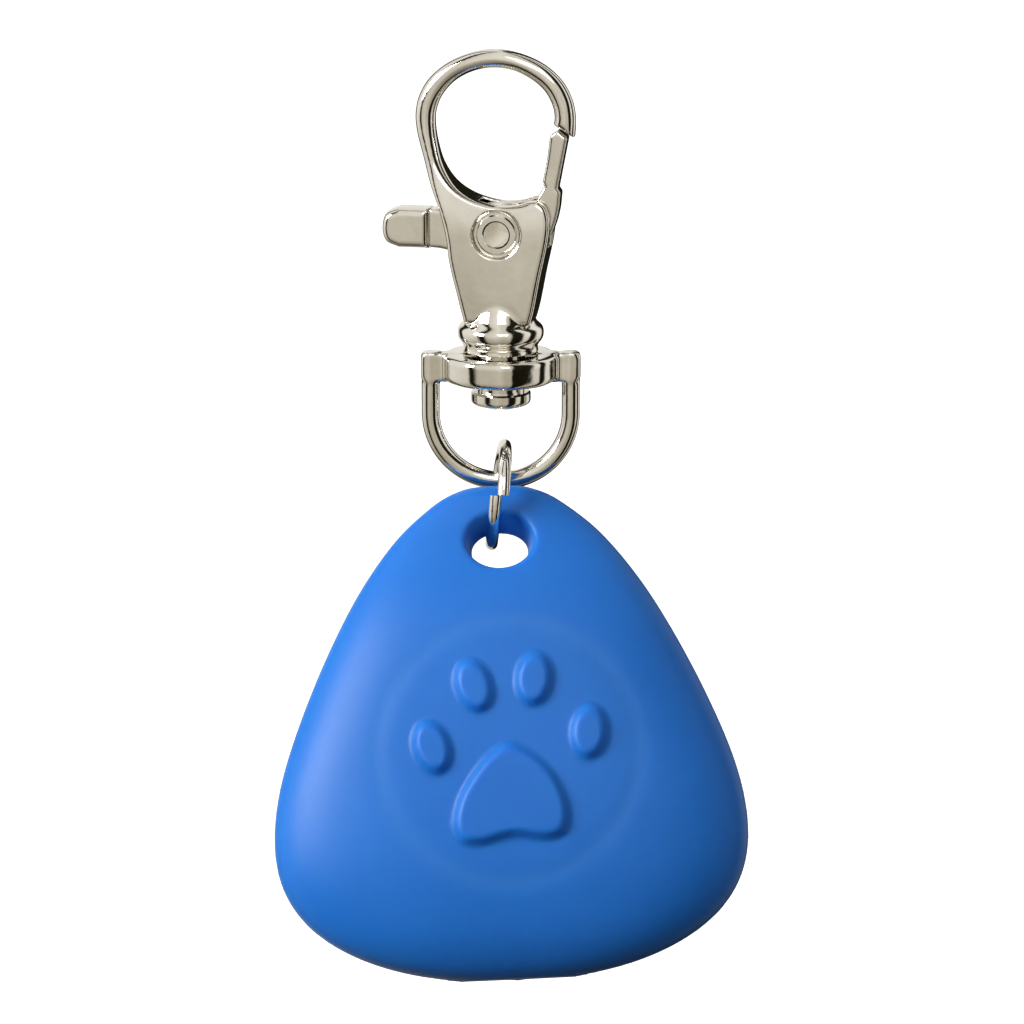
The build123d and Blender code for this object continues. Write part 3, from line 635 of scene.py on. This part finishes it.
def eye_field(x, y, z):
    """Disc and flat bar over a round wire loop."""
    radius = np.hypot(x - SWIVEL_X, y)
    # the disc, cast a little uneven round its rim
    turn = np.arctan2(y, x - SWIVEL_X)
    rim = (DISC_R + 0.05 * np.cos(9 * turn + 0.6) * smooth((radius - 3.5) / 1.0)
           + 0.03 * np.cos(5 * turn))
    disc = smax(radius - rim, np.abs(z - DISC_Z) - DISC_HALF, 0.62)
    across = np.abs(x - SWIVEL_X)
    arc = np.hypot(np.hypot(x - SWIVEL_X, z - LOOP_Z) - LOOP_R, y) - LOOP_WIRE
    leg = smax(np.hypot(across - LOOP_R, y) - LOOP_WIRE, z - LEG_TOP, 0.25)
    loop = np.where(z < LOOP_Z, arc, leg)
    bar = slab(across - BAR_X, z - BAR_Z, BAR_HALF_Z, 0.6)
    bar = smax(bar, np.abs(y) - BAR_HALF_Y, 0.35)
    dist = smin(smin(disc, bar, 0.30), loop, 0.30)
    dish = np.sqrt(radius ** 2 + (z - DISH_Z) ** 2) - DISH_R
    dish = np.maximum(np.maximum(dish, -22.6 - z), radius - 4.2)
    dist = smax(dist, -dish, 0.18)
    return np.maximum(dist, -np.maximum(radius - EYE_BORE, -24.0 - z))


# mesh name, field, box low, box high, frame, piece it replaces, body it rides
CASTINGS = [
    ("hook_skin", hook_field, (-7.6, -4.3, -19.8), (7.6, 4.3, 7.4), HOOK, "hook_body", "clasp"),
    ("lever_skin", lever_field, (-10.4, -2.0, -12.8), (7.2, 2.0, 1.0), HOOK, "gate_lever",
     "lever"),
    ("swivel_skin", eye_field, (-6.9, -5.4, -32.2), (7.9, 5.4, -18.4), CLASP, "swivel_eye",
     "swivel")]
for name, function, low, high, place, piece, body in CASTINGS:
    casting = grid_mesh(name, function, low, high, METAL_STEP, place)
    casting.data.materials.append(MATERIALS["nickel_cast"])
    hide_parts(piece)
    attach(casting, body)

# ---------------------------------------------------------------- stage, in metres
VIEW_X, VIEW_Z = 1.45 * MM, -32.6 * MM  # middle of the product
FLOOR_Z, FLOOR_HALF = -0.145, 2.5
BEND_Y, BEND_R = 0.9, 0.5               # where the floor starts to curve up, and its radius


def sweep_floor():
    """Floor that curves up into a backdrop."""
    rows = [(-1.2, FLOOR_Z), (BEND_Y, FLOOR_Z)]
    for angle in np.linspace(0, math.pi / 2, 16):
        rows.append((BEND_Y + BEND_R * math.sin(angle), FLOOR_Z + BEND_R * (1 - math.cos(angle))))
    rows.append((BEND_Y + BEND_R, 2.2))
    verts = [(x, y, z) for y, z in rows for x in (-FLOOR_HALF, FLOOR_HALF)]
    faces = [(2 * i, 2 * i + 1, 2 * i + 3, 2 * i + 2) for i in range(len(rows) - 1)]
    mesh = bpy.data.meshes.new("floor")
    mesh.from_pydata(verts, [], faces)
    floor = add_object("floor", mesh)
    made, tree, shader = material("floor")
    set_inputs(tree, shader, {"Base Color": (0.93, 0.93, 0.93, 1), "Roughness": 0.9,
                              "Emission Color": (1, 1, 1, 1), "Emission Strength": 0.80})
    mesh.materials.append(made)
    floor.visible_glossy = False
    floor.visible_diffuse = False
    return floor


sweep_floor()
scene = bpy.context.scene
scene.view_settings.view_transform = "Standard"
scene.view_settings.look = "None"

# ---------------------------------------------------------------- world
WHITE, WARM, DARK = (1.0, 0.975, 0.92), (0.80, 0.765, 0.68), (0.014, 0.013, 0.007)
# tent walls: degrees from the front, positive to the right, and colour
WALLS = [(-180, WHITE), (-150, WHITE), (-140, DARK), (-126, DARK), (-118, WHITE),
         (-70, WHITE), (-60, DARK), (-48, DARK), (-38, WARM), (-14, WHITE), (6, WARM),
         (26, WARM), (34, DARK), (60, DARK), (68, WHITE), (82, WHITE), (88, DARK),
         (106, DARK), (116, WHITE), (138, WHITE), (146, DARK), (172, DARK), (180, WHITE)]
# from straight down at 0 to straight up at 1
WALL_SHADE = [(0.0, (0.20, 0.19, 0.16)), (0.25, (0.62, 0.60, 0.54)), (0.5, (1, 1, 1)),
              (1.0, (1, 1, 1))]
SOFT_SHADE = [(0.0, (0.02, 0.02, 0.02)), (0.35, (0.12, 0.12, 0.12)), (1.0, (0.72, 0.72, 0.72))]


def studio_world():
    """Soft light from above; glossy rays see white tent walls with dark gaps."""
    world = bpy.data.worlds.new("studio")
    scene.world = world
    world.use_nodes = True
    tree = world.node_tree
    tree.nodes.clear()
    output = node(tree, "ShaderNodeOutputWorld")
    soft = node(tree, "ShaderNodeBackground", {"Color": (1, 1, 1, 1), "Strength": 1.0})
    tent = node(tree, "ShaderNodeBackground", {"Strength": 0.92})
    coords = node(tree, "ShaderNodeTexCoord")
    split = node(tree, "ShaderNodeSeparateXYZ", {0: coords.outputs["Generated"]})
    flip = node(tree, "ShaderNodeMath", {0: split.outputs["Y"], 1: -1}, operation="MULTIPLY")
    turn = node(tree, "ShaderNodeMath", {0: split.outputs["X"], 1: flip.outputs[0]},
                operation="ARCTAN2")
    unit = node(tree, "ShaderNodeMapRange",
                {"Value": turn.outputs[0], "From Min": -math.pi, "From Max": math.pi})
    sides = ramp(tree, unit.outputs[0], [((angle + 180) / 360, color) for angle, color in WALLS])
    lift = node(tree, "ShaderNodeMapRange",
                {"Value": split.outputs["Z"], "From Min": -1, "From Max": 1})
    heights = ramp(tree, lift.outputs[0], WALL_SHADE)
    tree.links.new(ramp(tree, lift.outputs[0], SOFT_SHADE), soft.inputs["Color"])
    walls = node(tree, "ShaderNodeMix", {"Factor": 1.0, "A": sides, "B": heights},
                 data_type="RGBA", blend_type="MULTIPLY")
    tree.links.new(walls.outputs["Result"], tent.inputs["Color"])
    path = node(tree, "ShaderNodeLightPath")
    pick = node(tree, "ShaderNodeMixShader", {0: path.outputs["Is Glossy Ray"],
                                              1: soft.outputs[0], 2: tent.outputs[0]})
    tree.links.new(pick.outputs[0], output.inputs[0])


studio_world()


# ---------------------------------------------------------------- lights and camera
def area_light(name, location, size, power):
    """A square light aimed at the middle of the product."""
    light = bpy.data.lights.new(name, "AREA")
    light.shape = "RECTANGLE"
    light.size = light.size_y = size
    light.energy = power
    holder = bpy.data.objects.new(name, light)
    holder.location = location
    aim = Vector((VIEW_X, 0, VIEW_Z)) - Vector(location)
    holder.rotation_euler = aim.to_track_quat("-Z", "Y").to_euler()
    scene.collection.objects.link(holder)


area_light("key", location=(-0.44, -0.27, 0.16), size=0.26, power=4.0)
area_light("fill", location=(0.05, -0.60, 0.25), size=0.30, power=0.6)

CAMERA_DISTANCE = 0.300
VIEW_HALF = 0.04378                     # half the view's width at that distance
SENSOR = 36
CAMERA_RISE = math.radians(2.0)
camera_data = bpy.data.cameras.new("camera")
camera_data.sensor_width = SENSOR
camera_data.lens = SENSOR / 2 / (VIEW_HALF / CAMERA_DISTANCE)
camera_data.clip_start = 0.01
camera = add_object("camera", camera_data)
target = Vector((VIEW_X, 0.002, VIEW_Z))
back = Vector((0, -math.cos(CAMERA_RISE), math.sin(CAMERA_RISE)))
camera.location = target + back * CAMERA_DISTANCE
camera.rotation_euler = (target - camera.location).to_track_quat("-Z", "Y").to_euler()
scene.camera = camera
